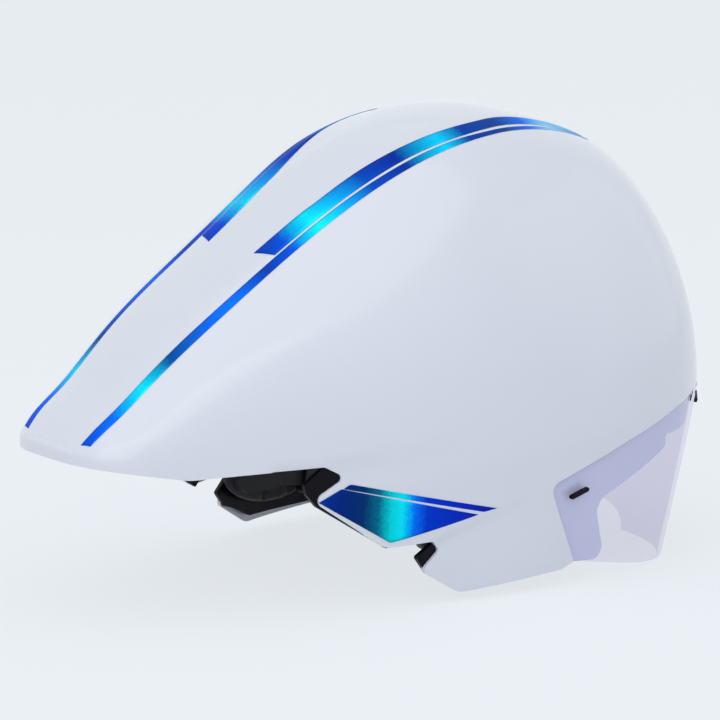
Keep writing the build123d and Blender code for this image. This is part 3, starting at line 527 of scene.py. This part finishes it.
# Recessed flange: the part of the shell's moulding that the visor's edge lies on, seen through the
# lens. It is white as the shell is, but its paint is darker and bluer as painted shade for the tint
# and reflection of the lens over it, and it carries the magnets.
LENS_WALL = 2.0 * MM
SEAT_GAP = 0.3 * MM
FLANGE_WALL = 2.5 * MM
NOSE_LEAN = 32 * MM
FOOT_SQUARENESS = 0.7
LENS_TAIL = 25 * MM
LENS_ROUND = 150 * MM  # the curved run of one side, against the straight tail
TURN_EVENING = 0.12  # spreads the columns evenly round the front
SHEET_COLUMNS, SHEET_ROWS = 150, 24
FLANGE_LOW = 2 * MM
SHEET_HIGH = 92 * MM
# The flange's tones are darker and bluer than the shell's paint: painted shade from the lens over
# it.
FLANGE_PAINTED_SHADE_TONES = ((216, 225, 240), (220, 229, 244))
FLANGE_LINE = (
    (0.160, 0.047, 0.0),
    (0.2205, 0.037, 0.027),
    (0.1965, 0.170, 0.04),
    (0.3405, 0.2615, 0.013),
    (0.3325, 0.2895, 0.009),
    (0.352, 0.285, 0.02),
    (0.452, 0.290, 0.03),
    (0.475, 0.335, 0.03),
    (0.560, 0.345, 0.0),
    (0.560, 0.392, 0.0),
    (0.425, 0.388, 0.06),
    (0.346, 0.361, 0.1),
    (0.246, 0.313, 0.2),
    (0.103, 0.234, 0.01),
    (0.150, 0.047, 0.0),
)


def lens_point(inset, along, height):
    """The lens's surface at an inset: along runs from the left rear edge round the front."""
    drop = max(0.0, 1 - height / BROW_HEIGHT)
    reach = FRONT_LENGTH - NOSE_LEAN * drop - inset
    width = HALF_WIDTH - SIDE_LEAN * drop - inset
    roundness = PLAN_ROUNDNESS + FOOT_SQUARENESS * drop
    straight = LENS_TAIL / (LENS_TAIL + LENS_ROUND)
    share = abs(2 * along - 1)
    side = 1 if along < 0.5 else -1
    if share > 1 - straight:
        back = (share - 1 + straight) / straight * LENS_TAIL
        return Vector((WIDEST_X - back, side * width, height))
    turn = share / (1 - straight) * pi / 2
    turn = turn - TURN_EVENING * sin(2 * turn)
    x = WIDEST_X + reach * cos(turn) ** (2 / roundness)
    return Vector((x, side * width * sin(turn) ** (2 / roundness), height))


def lens_sheet(name, inset, wall, outline, low, high):
    """A wall that follows the lens's surface, trimmed to an outline in side view."""
    surface = new_grid(f"{name}_surface", SHEET_COLUMNS, SHEET_ROWS)
    place_grid(surface, lambda along, up: lens_point(inset, along, low + up * (high - low)))
    pick(surface)
    bpy.ops.object.shade_smooth()
    front = max(surface.data.polygons, key=lambda face: face.center.x)
    if front.normal.x < 0:
        surface.data.flip_normals()
    surface.name = name
    apply_modifier(surface, "SOLIDIFY", thickness=wall, offset=-1.0)
    trim(surface, prism(f"{name}_trim", outline, TRIM_REACH), "INTERSECT")
    return surface


flange_outline = rounded_outline(FLANGE_LINE, LENGTH, CROWN_HEIGHT)
flange_inset = LENS_WALL + SEAT_GAP
flange = lens_sheet(
    "port_flange", flange_inset, FLANGE_WALL, flange_outline, FLANGE_LOW, SHEET_HIGH
)
shade_by_angle(flange)
# A copy of the shell's paint in darker, bluer tones: painted shade for the look through the lens.
flange_paint = shell_paint.copy()
flange_paint.name = "white_flange_painted_shade"
flange_shade_ramp = flange_paint.node_tree.nodes["Color Ramp"].color_ramp
for stop, colour in zip(flange_shade_ramp.elements, FLANGE_PAINTED_SHADE_TONES):
    stop.color = srgb(*colour)
coat(flange, flange_paint)
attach(flange, "helmet")
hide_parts("outer_shell")

# Foil graphics: thin blue mirror-foil stickers under clear lacquer, two stripes a side along the
# crown and a split panel on each middle lobe. The foil is deep blue, and the cyan and pale bands
# along it are painted highlights of its mirror sheen.
FOIL_LIFT = 0.1 * MM
FOIL_WALL = 0.12 * MM
FOIL_STRAY = 0.0045  # how far the grain shifts a colour along the foil
STRIPE_STEPS, STRIPE_LANES = 200, 6
PANEL_COLUMNS, PANEL_ROWS = 60, 8
BODY_MIDDLE = Vector((0.02, 0, 0.08))
LEFT_SHIFT = (  # place along, and how far out the left stripes lie from the right ones' place
    (-176, 0),
    (-166, 0.8),
    (-151, 2.6),
    (-135, 1.3),
    (-118, -1.8),
    (-95, -3.8),
    (-60, -4.5),
    (-20, -4.5),
    (115, -4.5),
)
OUTER_STRIPE = (  # rows of place along, place aside and width in plan
    (-176, 25.4, 4.6),
    (-166, 27.5, 5.5),
    (-155, 27.7, 5.9),
    (-147, 28.0, 5.9),
    (-135, 30.0, 5.7),
    (-120, 32.8, 5.5),
    (-100, 34.9, 5.4),
    (-78, 36.2, 5.3),
    (-57, 38.1, 5.0),
    (-36, 41.1, 4.7),
    (-15, 44.6, 4.1),
    (5, 46.3, 3.7),
    (25, 45.3, 3.3),
    (46, 42.7, 2.6),
    (65, 39.3, 2.5),
    (82, 35.6, 2.3),
    (100, 32.5, 1.8),
    (116, 31.5, 0.5),
)
INNER_STRIPE = (
    (-77.5, 26.8, 11.2),
    (-60, 28.3, 11.1),
    (-45, 30.3, 10.8),
    (-30, 33.2, 10.2),
    (-15, 36.3, 9.2),
    (0, 38.6, 8.2),
    (15, 39.2, 7.7),
    (30, 38.3, 7.3),
    (46, 36.1, 6.9),
    (60, 33.4, 7.0),
    (75, 30.3, 7.0),
    (90, 28.0, 6.3),
    (103, 28.3, 4.0),
    (113, 30.0, 0.5),
)
OUTER_CUT = 3.0  # how far the cut rear end of a stripe slants
INNER_CUT = 4.8


def crown_point(x, y):
    """The point of the shell's upper surface at a place in plan."""
    width, rise, level, roundness = slice_sizes(x)
    share = min(1.0, abs(y) / width)
    up = rise * (1 - share**roundness) ** (1 / roundness)
    return Vector((x, y, level + up + crown_step(x, y)))


def stripe(name, rows, side, cut):
    """A strip of foil along a line on the crown, with a slanted rear end."""
    knots = [0.0]
    for before, after in zip(rows, rows[1:]):
        knots.append(knots[-1] + (Vector(after[:2]) - Vector(before[:2])).length)
    x_at, y_at, width_at = (smooth_curve(knots, list(column)) for column in zip(*rows))
    shift_at = smooth_curve([row[0] for row in LEFT_SHIFT], [row[1] for row in LEFT_SHIFT])
    piece = new_grid(name, STRIPE_STEPS, STRIPE_LANES)

    def strip_point(column, row):
        run = cut * row + (knots[-1] - cut * row) * column
        after, before = run + 0.5, run - 0.5
        ahead = Vector((x_at(after) - x_at(before), y_at(after) - y_at(before))).normalized()
        aside = (row - 0.5) * width_at(run)
        x = (x_at(run) - ahead.y * aside) * MM
        shift = shift_at(x_at(run)) if side > 0 else 0
        y = side * (y_at(run) + ahead.x * aside + shift) * MM
        point = crown_point(x, y)
        slope = (crown_point(x + 0.5 * MM, y) - point).cross(crown_point(x, y + 0.5 * MM) - point)
        return point + slope.normalized() * FOIL_LIFT

    place_grid(piece, strip_point)
    return piece


def panel(name, upper, lower, side):
    """A flat piece of foil on the lobe's side, between two lines of place and height."""
    piece = new_grid(name, PANEL_COLUMNS, PANEL_ROWS)
    start, end = upper[0][0], upper[-1][0]

    def height_at(line, x):
        for (x0, z0), (x1, z1) in zip(line, line[1:]):
            if x <= x1:
                return z0 + (z1 - z0) * (x - x0) / (x1 - x0)
        return line[-1][1]

    def panel_point(column, row):
        x = start + (end - start) * column
        low, high = height_at(lower, x), height_at(upper, x)
        z = low + (high - low) * row
        point = on_body(x * MM, side * 0.1, z * MM)
        return point + Vector((0, side * FOIL_LIFT, 0))

    place_grid(piece, panel_point)
    return piece


def finish_foil(piece, material):
    """Gives a foil its thickness outwards, its material and its place on the helmet."""
    pick(piece)
    faces = piece.data.polygons
    if sum(face.normal.dot(face.center - BODY_MIDDLE) for face in faces) < 0:
        piece.data.flip_normals()
    bpy.ops.object.shade_smooth()
    apply_modifier(piece, "SOLIDIFY", thickness=FOIL_WALL, offset=1.0)
    piece.data.materials.append(material)
    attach(piece, "helmet")


def mirror_foil(name, colours_and_highlights):
    """Blue mirror foil along the helmet, from rows of place and screen colour; its cyan is painted
    highlight.
    """
    start, end = colours_and_highlights[0][0] * MM, colours_and_highlights[-1][0] * MM
    material = bpy.data.materials.new(name)
    material.use_nodes = True
    nodes, links = material.node_tree.nodes, material.node_tree.links
    metal = nodes["Principled BSDF"]
    metal.inputs["Metallic"].default_value = 0.9
    metal.inputs["Roughness"].default_value = 0.36
    metal.inputs["Specular IOR Level"].default_value = 0.2
    metal.inputs["Specular Tint"].default_value = (0.12, 0.45, 1.0, 1)
    metal.inputs["Coat Weight"].default_value = 0.08
    metal.inputs["Coat Roughness"].default_value = 0.05
    coordinates = nodes.new("ShaderNodeTexCoord")
    axes = nodes.new("ShaderNodeSeparateXYZ")
    along = nodes.new("ShaderNodeMapRange")
    along.inputs["From Min"].default_value = start
    along.inputs["From Max"].default_value = end
    grain = nodes.new("ShaderNodeTexNoise")
    grain.inputs["Scale"].default_value = 700
    stray = nodes.new("ShaderNodeMath")
    stray.operation = "MULTIPLY_ADD"
    stray.inputs[1].default_value = FOIL_STRAY / (end - start)
    tint = nodes.new("ShaderNodeValToRGB")
    for i, (place, colour) in enumerate(colours_and_highlights):
        share = (place * MM - start) / (end - start)
        if i in (0, len(colours_and_highlights) - 1):
            stop = tint.color_ramp.elements[0 if i == 0 else -1]
            stop.position = share
        else:
            stop = tint.color_ramp.elements.new(share)
        stop.color = srgb(*colour)
    bump = nodes.new("ShaderNodeBump")
    bump.inputs["Strength"].default_value = 0.15
    bump.inputs["Distance"].default_value = 0.0003
    links.new(coordinates.outputs["Object"], axes.inputs["Vector"])
    links.new(axes.outputs["X"], along.inputs["Value"])
    links.new(coordinates.outputs["Object"], grain.inputs["Vector"])
    links.new(grain.outputs["Fac"], stray.inputs[0])
    links.new(along.outputs["Result"], stray.inputs[2])
    links.new(stray.outputs["Value"], tint.inputs["Fac"])
    links.new(tint.outputs["Color"], metal.inputs["Base Color"])
    links.new(grain.outputs["Fac"], bump.inputs["Height"])
    links.new(bump.outputs["Normal"], metal.inputs["Normal"])
    return material


# The cyan and pale stops are painted highlights of the foil's sheen; the deep blue ones are its own
# colour.
stripe_foil = mirror_foil(
    "stripe_foil",
    (
        (-178, (0, 70, 200)),
        (-158, (0, 110, 250)),
        (-143, (2, 232, 255)),
        (-129, (5, 75, 155)),
        (-98, (0, 112, 248)),
        (-78, (2, 60, 165)),
        (-64, (0, 80, 210)),
        (-50, (5, 235, 250)),
        (-36, (3, 165, 235)),
        (-22, (0, 70, 180)),
        (-4, (2, 45, 150)),
        (19, (8, 215, 255)),
        (34, (1, 70, 165)),
        (58, (45, 75, 145)),
        (76, (70, 125, 230)),
        (92, (180, 238, 250)),
        (118, (150, 200, 240)),
    ),
)
# The cyan stops are painted highlights of the foil's sheen; the blues are its own colour.
lobe_foil = mirror_foil(
    "lobe_foil",
    (
        (-80, (0, 60, 160)),
        (-66, (0, 40, 130)),
        (-55, (0, 50, 110)),
        (-48, (0, 110, 145)),
        (-42, (0, 218, 225)),
        (-37, (5, 234, 253)),
        (-31, (0, 115, 250)),
        (-25, (0, 55, 205)),
        (10, (5, 30, 170)),
    ),
)

# The lobe's panel and the line above it, by their upper and lower edges: place and height.
PANEL_UPPER = ((-78, 54), (-68, 60), (-1, 42))
PANEL_LOWER = ((-78, 54), (-44, 32), (-39, 33), (-1, 42))
LINE_UPPER = ((-67, 60), (-64, 62), (9, 44))
LINE_LOWER = ((-67, 60), (2, 43), (9, 44))
for side, word in ((1, "left"), (-1, "right")):
    finish_foil(stripe(f"outer_stripe_{word}", OUTER_STRIPE, side, OUTER_CUT), stripe_foil)
    finish_foil(stripe(f"inner_stripe_{word}", INNER_STRIPE, side, INNER_CUT), stripe_foil)
    finish_foil(panel(f"lobe_panel_{word}", PANEL_UPPER, PANEL_LOWER, side), lobe_foil)
    finish_foil(panel(f"lobe_line_{word}", LINE_UPPER, LINE_LOWER, side), lobe_foil)

# Visor lens: one sheet of clear polycarbonate, 2 mm thick, with a faint violet tint and an arch
# for the nose. It sits flush with the shell, held by magnets, and all its edges are ground round.
NOSE_HALF_WIDTH = 26 * MM
NOSE_HEIGHT = 13 * MM
LENS_LOW = -2 * MM
LENS_EDGE = 0.35 * MM
SHARP_ANGLE = radians(50)  # edges past this are ground round
LENS_FOOT = (
    (0.560, 0.012, 0.0),
    (0.400, 0.003, 0.0),
    (0.363, 0.000, 0.0),
    (0.290, 0.011, 0.3),
)
LENS_LINE = (
    (0.160, 0.049, 0.0),
    (0.1130, 0.2252, 0.022),
    (0.2465, 0.2978, 0.2),
    (0.3465, 0.3438, 0.1),
    (0.4255, 0.3698, 0.06),
    (0.560, 0.3748, 0.0),
)
lens_outline = rounded_outline(LENS_LINE + LENS_FOOT, LENGTH, CROWN_HEIGHT)
lens = lens_sheet("visor_sheet", 0, LENS_WALL, lens_outline, LENS_LOW, SHEET_HIGH)
rest()
bpy.ops.mesh.primitive_cylinder_add(
    vertices=96,
    radius=1,
    depth=0.2,
    location=(0.15, 0, 0),
    rotation=(0, pi / 2, 0),
    scale=(NOSE_HEIGHT, NOSE_HALF_WIDTH, 1),
)
trim(lens, bpy.context.object, "DIFFERENCE")
apply_modifier(
    lens, "BEVEL", width=LENS_EDGE, segments=2, limit_method="ANGLE", angle_limit=SHARP_ANGLE
)
shade_by_angle(lens, 30)

clear_sheet = bpy.data.materials.new("clear_violet_sheet")
clear_sheet.use_nodes = True
glass = clear_sheet.node_tree.nodes["Principled BSDF"]
glass.inputs["Base Color"].default_value = (0.85, 0.83, 0.905, 1)
glass.inputs["Roughness"].default_value = 0.0
glass.inputs["IOR"].default_value = 1.01
glass.inputs["Transmission Weight"].default_value = 1.0
coat(lens, clear_sheet)
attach(lens, "visor")
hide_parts("visor_lens")

# Black plastic: injection-moulded nylon with a fine spark texture. The side frames, cradle, dial,
# bands, rail, guides, dividers, buckle and anchors are moulded in it, and keep their CAD solids.


def moulded(name, colour, roughness, grain, depth):
    """A moulded plastic with a fine even grain."""
    material = bpy.data.materials.new(name)
    material.use_nodes = True
    nodes, links = material.node_tree.nodes, material.node_tree.links
    shader = nodes["Principled BSDF"]
    shader.inputs["Roughness"].default_value = roughness
    coordinates = nodes.new("ShaderNodeTexCoord")
    noise = nodes.new("ShaderNodeTexNoise")
    noise.inputs["Scale"].default_value = grain
    noise.inputs["Detail"].default_value = 3
    ramp = nodes.new("ShaderNodeValToRGB")
    ramp.color_ramp.elements[0].color = tuple(value * 0.8 for value in colour[:3]) + (1,)
    ramp.color_ramp.elements[1].color = tuple(min(1, value * 1.25) for value in colour[:3]) + (1,)
    bump = nodes.new("ShaderNodeBump")
    bump.inputs["Strength"].default_value = 0.35
    bump.inputs["Distance"].default_value = depth
    links.new(coordinates.outputs["Object"], noise.inputs["Vector"])
    links.new(noise.outputs["Fac"], ramp.inputs["Fac"])
    links.new(ramp.outputs["Color"], shader.inputs["Base Color"])
    links.new(noise.outputs["Fac"], bump.inputs["Height"])
    links.new(bump.outputs["Normal"], shader.inputs["Normal"])
    return material


def dress(node_names, material):
    """Gives CAD nodes a better material."""
    for name in node_names:
        coat(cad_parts[name], material)


black_plastic = moulded("black_nylon", (0.009, 0.0085, 0.011), 0.45, 2600, 0.00006)
satin_black = moulded("black_satin", (0.004, 0.0035, 0.006), 0.35, 900, 0.00002)
for plastic, gloss in ((black_plastic, 0.25), (satin_black, 0.12)):
    shader = plastic.node_tree.nodes["Principled BSDF"]
    shader.inputs["Specular IOR Level"].default_value = gloss
dress(("side_frame_left", "side_frame_right"), satin_black)

dress(
    (
        "height_rail",
        "cradle_yoke",
        "dial_housing",
        "dial_cover",
        "dial_pinion",
        "band_left",
        "band_right",
        "band_guide_left",
        "band_guide_right",
        "strap_anchors",
        "strap_divider_left",
        "strap_divider_right",
        "buckle_male",
        "buckle_female",
    ),
    black_plastic,
)

# Dial knob: moulded in a stiff rubber with a soft grip, and turned from behind. A screw holds it on
# the end of the dial's shaft.
dress(("dial_knob",), moulded("grip_rubber", (0.03, 0.03, 0.034), 0.7, 1800, 0.0001))

# Steel: the dial's screw, and the magnets in the shell's flange that the visor's pods meet. The
# screw is plain steel, the magnets are nickel plated, and both are bright.
steel = moulded("bright_steel", (0.55, 0.56, 0.58), 0.3, 300, 0.00002)
steel.node_tree.nodes["Principled BSDF"].inputs["Metallic"].default_value = 1.0
dress(("dial_screw", "visor_magnets"), steel)

# Visor pods: four slim caps of black plastic, welded to the outside of the lens over the magnets in
# the flange. Two sit by its rear ends and two under the brow, all sloped as the brow line is.
POD_LENGTH = 11.4 * MM
POD_WIDTH = 2.2 * MM
POD_RISE = 2.0 * MM
POD_SINK = 0.4 * MM  # into the lens
POD_EDGE = 0.45 * MM
POD_MIDDLE = 0.00001  # points this near the middle stay there when the pod is drawn out
POD_PLACES = (  # place along, height, slope in degrees and how far the pod faces down
    (0.0575, 45.2 * MM, 17, 0.09),
    (0.1622, 74.0 * MM, 16, 0.3),
)
for side, word in ((1, "left"), (-1, "right")):
    for number, (x, z, slope, down) in enumerate(POD_PLACES):
        drop = 1 - z / BROW_HEIGHT
        reach, width = FRONT_LENGTH - NOSE_LEAN * drop, HALF_WIDTH - SIDE_LEAN * drop
        roundness = PLAN_ROUNDNESS + FOOT_SQUARENESS * drop
        along = (x - WIDEST_X) / reach
        y = width * (1 - along**roundness) ** (1 / roundness)
        forward = along ** (roundness - 1) / reach
        sideways = (y / width) ** (roundness - 1) / width * side
        outward = Vector((forward, sideways, 0)).normalized()
        outward = (outward + Vector((0, 0, -down))).normalized()
        level = Vector((0, 0, 1)).cross(outward).normalized() * -side
        rising = outward.cross(level).normalized() * side
        rising = rising if rising.z > 0 else -rising
        ahead = (level * cos(radians(slope)) + rising * sin(radians(slope))).normalized()
        across = outward.cross(ahead)
        rest()
        bpy.ops.mesh.primitive_cylinder_add(
            vertices=40, radius=POD_WIDTH / 2, depth=POD_RISE + POD_SINK
        )
        pod = bpy.context.object
        pod.name = f"visor_pod_{word}_{number + 1}"
        apply_modifier(
            pod, "BEVEL", width=POD_EDGE, segments=4, limit_method="ANGLE", angle_limit=SHARP_ANGLE
        )
        for vertex in pod.data.vertices:
            spot = vertex.co.copy()
            if abs(spot.x) > POD_MIDDLE:
                spot.x += (POD_LENGTH - POD_WIDTH) / 2 * (1 if spot.x > 0 else -1)
            lift = spot.z + (POD_RISE - POD_SINK) / 2
            vertex.co = Vector((x, side * y, z)) + ahead * spot.x + across * spot.y + outward * lift
        shade_by_angle(pod, 30)
        pod.data.materials.append(satin_black)
        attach(pod, "visor")
        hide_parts("visor_pods")

# Impact liner: expanded foam moulded in one piece, dark grey, with a fine bead texture. It is glued
# inside the shell, with air channels over the crown and two exhaust trenches in the tail.


def beaded(name, roughness, grain, top, gap, strength, depth):
    """A surface of small raised beads, loops or ribs, with painted shade in the gaps between them
    and its pattern node named beads.
    """
    material = bpy.data.materials.new(name)
    material.use_nodes = True
    nodes, links = material.node_tree.nodes, material.node_tree.links
    shader = nodes["Principled BSDF"]
    shader.inputs["Roughness"].default_value = roughness
    coordinates = nodes.new("ShaderNodeTexCoord")
    beads = nodes.new("ShaderNodeTexVoronoi")
    beads.name = "beads"
    beads.inputs["Scale"].default_value = grain
    ramp = nodes.new("ShaderNodeValToRGB")
    # The gaps are coloured darker than the tops: painted shade in the hollows between the raised
    # beads.
    ramp.color_ramp.elements[0].color = (*top, 1)
    ramp.color_ramp.elements[1].color = (*gap, 1)
    bump = nodes.new("ShaderNodeBump")
    bump.invert = True
    bump.inputs["Strength"].default_value = strength
    bump.inputs["Distance"].default_value = depth
    links.new(coordinates.outputs["Object"], beads.inputs["Vector"])
    links.new(beads.outputs["Distance"], ramp.inputs["Fac"])
    links.new(ramp.outputs["Color"], shader.inputs["Base Color"])
    links.new(beads.outputs["Distance"], bump.inputs["Height"])
    links.new(bump.outputs["Normal"], shader.inputs["Normal"])
    return material


liner_foam = beaded(
    "bead_foam", 0.75, 320, (0.045, 0.045, 0.05), (0.02, 0.02, 0.022), 0.5, 0.0005
)
dress(("impact_liner",), liner_foam)

# Comfort pads: soft foam in a wicking black knit, welded at the edge and quilted by grooves. Each
# sticks to the liner, a side frame or the cradle by hook tape.
SOFT_EASING = 0.5  # how far each of the easing passes rounds a soft piece
SOFT_PASSES = 6
WELD_DISTANCE = 0.00001
knit = beaded(
    "black_knit", 0.9, 1100, (0.035, 0.035, 0.04), (0.008, 0.008, 0.01), 0.6, 0.0003
)
cloth = knit.node_tree.nodes["Principled BSDF"]
cloth.inputs["Sheen Weight"].default_value = 0.35
cloth.inputs["Sheen Roughness"].default_value = 0.5


def soft_copy(node_name, name, voxel):
    """A soft piece grown from its CAD solid: one closed skin with rounded edges."""
    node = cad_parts[node_name]
    piece = node.copy()
    piece.data = node.data.copy()
    piece.parent = None
    piece.name = name
    bpy.context.scene.collection.objects.link(piece)
    piece.data.transform(node.matrix_world)
    piece.matrix_world.identity()
    apply_modifier(piece, "WELD", merge_threshold=WELD_DISTANCE)
    apply_modifier(piece, "REMESH", mode="VOXEL", voxel_size=voxel)
    apply_modifier(piece, "SMOOTH", factor=SOFT_EASING, iterations=SOFT_PASSES)
    pick(piece)
    bpy.ops.object.shade_smooth()
    return piece


PADS = (  # node, body and voxel size in millimetres
    ("brow_pad", "helmet", 1.1),
    ("crown_pad_left", "helmet", 1.1),
    ("crown_pad_right", "helmet", 1.1),
    ("side_pad_left", "helmet", 1.1),
    ("side_pad_right", "helmet", 1.1),
    ("ear_pad_left", "helmet", 1.2),
    ("ear_pad_right", "helmet", 1.2),
    ("cradle_pad_left", "cradle", 1.0),
    ("cradle_pad_right", "cradle", 1.0),
)
for node_name, body, voxel in PADS:
    pad = soft_copy(node_name, f"{node_name}_soft", voxel * MM)
    coat(pad, knit)
    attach(pad, body)
    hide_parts(node_name)

# Straps: flat polyester webbing, 12 mm wide, woven in fine ribs and stowed inside. The front and
# rear straps run from the anchors into the dividers, and the chin straps from there to the buckle.
STRAP_VOXEL = 0.35 * MM
webbing = beaded(
    "woven_webbing", 0.75, 900, (0.03, 0.03, 0.034), (0.006, 0.006, 0.008), 0.6, 0.0003
)
webbing.node_tree.nodes["Principled BSDF"].inputs["Sheen Weight"].default_value = 0.2
webbing.node_tree.nodes["beads"].distance = "CHEBYCHEV"
for name in ("front_strap", "rear_strap", "chin_strap"):
    for word in ("left", "right"):
        strap = soft_copy(f"{name}_{word}", f"{name}_{word}_webbing", STRAP_VOXEL)
        coat(strap, webbing)
        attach(strap, "helmet")
        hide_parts(f"{name}_{word}")
